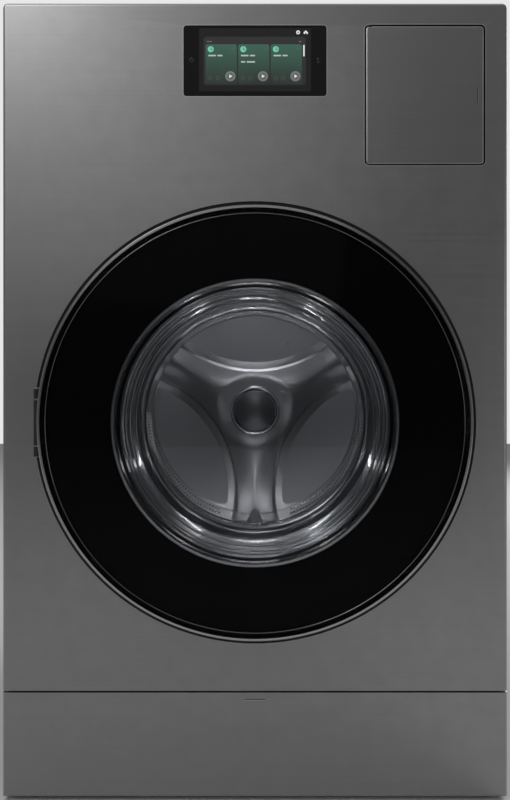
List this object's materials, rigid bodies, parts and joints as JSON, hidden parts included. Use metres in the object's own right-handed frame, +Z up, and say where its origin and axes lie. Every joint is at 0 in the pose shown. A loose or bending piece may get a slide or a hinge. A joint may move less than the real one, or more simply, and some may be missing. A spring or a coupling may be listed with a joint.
{
  "type": "washer dryer combo",
  "caption": "All-in-one front-loading washer dryer: round glass door, hung tub and drum, touch display, lint filter door, detergent drawer and heat pump.",
  "frame": {"origin": "on the floor under the feet, midway across the cabinet and midway between the door glass and the rear connectors", "axes": "+Z up, the machine faces -Y, and +X is to the right of someone who stands in front of it"},
  "size_m": [0.686, 0.8, 1.085],
  "materials": {
    "front_steel": "dark brushed steel, clear coated",
    "side_paint": "dark grey painted steel, satin",
    "zinc_steel": "bare zinc-coated sheet, matt",
    "black_plastic": "moulded black plastic, fine texture",
    "grey_plastic": "moulded grey plastic",
    "white_plastic": "moulded off-white plastic",
    "door_glass": "dark tinted toughened glass, polished",
    "bowl_glass": "clear pressed glass",
    "display_glass": "dark display glass, polished",
    "screen": "touch screen panel",
    "bright_trim": "bright metal rim",
    "drum_steel": "stainless steel, satin",
    "seal_rubber": "dark grey rubber",
    "foot_rubber": "black rubber with zinc-plated stem",
    "cast_metal": "cast metal, as cast",
    "concrete": "cast concrete",
    "spring_steel": "coated spring steel",
    "fin_aluminium": "aluminium fins with copper pipes",
    "copper_winding": "laminated steel with copper windings",
    "filter_mesh": "pale plastic frame with fine mesh",
    "hinge_metal": "black painted steel"
  },
  "bodies": {
    "cabinet": {"base_pan": "zinc_steel", "side_panel_left": "side_paint", "side_panel_right": "side_paint", "rear_panel": "zinc_steel", "rear_access_cover": "zinc_steel", "top_cover": "side_paint", "front_panel": "front_steel", "door_seat": "black_plastic", "levelling_feet": "foot_rubber", "display_glass": "display_glass", "display_module": "screen", "control_board_case": "white_plastic", "filter_door_hinges": "grey_plastic", "push_latches": "grey_plastic", "lint_filter_housing": "grey_plastic", "slide_channels": "zinc_steel", "door_hinge_bracket": "hinge_metal", "door_hinge_pin": "spring_steel", "door_lock": "grey_plastic", "door_gasket": "seal_rubber", "tub_springs": "spring_steel", "damper_cylinders": "grey_plastic", "heat_pump_base": "grey_plastic", "compressor": "cast_metal", "heat_exchangers": "fin_aluminium", "blower_housing": "grey_plastic", "drain_pump": "grey_plastic", "inlet_valves": "white_plastic", "rear_fittings": "black_plastic"},
    "tub": {"tub_front": "grey_plastic", "tub_rear": "grey_plastic", "tub_counterweights": "concrete", "damper_rods": "spring_steel", "shaft_bearings": "spring_steel", "motor_stator": "copper_winding"},
    "drum": {"drum": "drum_steel", "drum_back": "drum_steel", "drum_lifters": "drum_steel", "drum_spider": "cast_metal", "motor_rotor": "zinc_steel"},
    "door": {"door_trim_ring": "bright_trim", "door_outer_glass": "door_glass", "door_window_ring": "bright_trim", "door_frame": "black_plastic", "door_rear_cover": "black_plastic", "door_bowl": "bowl_glass", "door_latch_hook": "cast_metal", "door_hinge_arm": "cast_metal"},
    "drawer": {"drawer_front": "front_steel", "drawer_liner": "grey_plastic", "drawer_tray": "white_plastic", "drawer_tank_cover": "grey_plastic", "slide_inner_rails": "zinc_steel"},
    "drawer_middle_rails": {"slide_middle_rails": "zinc_steel"},
    "detergent_lid": {"detergent_lid": "white_plastic"},
    "softener_lid": {"softener_lid": "white_plastic"},
    "filter_door": {"filter_door": "front_steel"},
    "lint_filter": {"lint_filter": "filter_mesh"},
    "debris_filter": {"debris_filter": "white_plastic"},
    "blower_wheel": {"blower_wheel": "white_plastic"}
  },
  "joints": [
    {"name": "tub_bounce", "type": "slide", "parent": "cabinet", "child": "tub", "axis": [0, 0, 1], "range_m": [-0.01, 0.01], "stiffness_N_per_m": 24000, "springref_m": 0.02527, "deforming": ["tub_springs", "door_gasket"]},
    {"name": "drum_spin", "type": "hinge", "parent": "tub", "child": "drum", "pos_m": [0, -0.05, 0.521], "axis": [0, 1, 0], "continuous": true},
    {"name": "door_swing", "type": "hinge", "parent": "cabinet", "child": "door", "pos_m": [-0.291, -0.384, 0.515], "axis": [0, 0, -1], "range_deg": [0, 140]},
    {"name": "drawer_slide", "type": "slide", "parent": "cabinet", "child": "drawer", "axis": [0, -1, 0], "range_m": [-0.002, 0.36]},
    {"name": "drawer_middle_slide", "type": "slide", "parent": "cabinet", "child": "drawer_middle_rails", "axis": [0, -1, 0], "range_m": [-0.001, 0.18]},
    {"name": "detergent_lid_hinge", "type": "hinge", "parent": "drawer", "child": "detergent_lid", "pos_m": [-0.0886, -0.2468, 0.1315], "axis": [-1, 0, 0], "range_deg": [0, 95]},
    {"name": "softener_lid_hinge", "type": "hinge", "parent": "drawer", "child": "softener_lid", "pos_m": [0.1549, -0.2468, 0.1315], "axis": [-1, 0, 0], "range_deg": [0, 95]},
    {"name": "filter_door_swing", "type": "hinge", "parent": "cabinet", "child": "filter_door", "pos_m": [0.154, -0.365, 0.959], "axis": [0, 0, -1], "range_deg": [-0.7, 85]},
    {"name": "lint_filter_slide", "type": "slide", "parent": "cabinet", "child": "lint_filter", "axis": [0, -1, 0], "range_m": [-0.0006, 0.06]},
    {"name": "debris_filter_twist", "type": "hinge", "parent": "cabinet", "child": "debris_filter", "pos_m": [-0.296, -0.33, 0.085], "axis": [0, 1, 0], "range_deg": [0, 90]},
    {"name": "blower_spin", "type": "hinge", "parent": "cabinet", "child": "blower_wheel", "pos_m": [0.183, 0.18, 0.946], "axis": [0, 1, 0], "continuous": true}
  ],
  "couplings": [
    {"joint": "drawer_middle_slide", "follows": "drawer_slide", "ratio": 0.5},
    {"joint": "lint_filter_slide", "follows": "filter_door_swing", "m_per_rad": 0.04}
  ]
}
